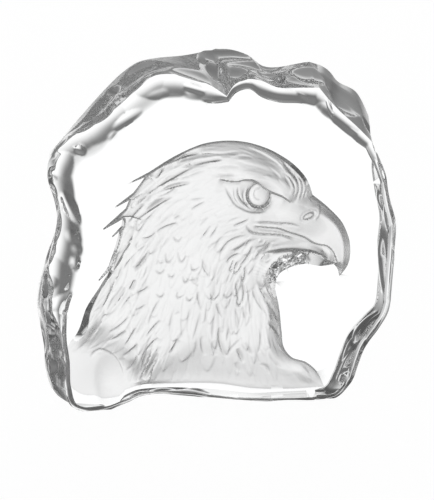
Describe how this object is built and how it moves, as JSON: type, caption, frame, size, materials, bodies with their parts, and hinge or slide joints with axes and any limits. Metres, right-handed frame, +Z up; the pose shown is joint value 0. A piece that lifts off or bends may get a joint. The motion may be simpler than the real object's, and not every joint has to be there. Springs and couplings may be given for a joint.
{
  "type": "eagle head figurine",
  "caption": "Free-standing block of clear crystal with a rocky rim, and a frosted eagle's head sunk into its back that is seen through the polished front.",
  "frame": {"origin": "on the surface that the block stands on, under the middle of its outline", "axes": "+Z up; +X the way the beak points; +Y towards the back face, into which the head is sunk"},
  "size_m": [0.1598, 0.0426, 0.1568],
  "materials": {
    "crystal": "clear polished crystal, with the sunk head frosted"
  },
  "bodies": {
    "root": {"crystal_block": "crystal"}
  },
  "joints": []
}
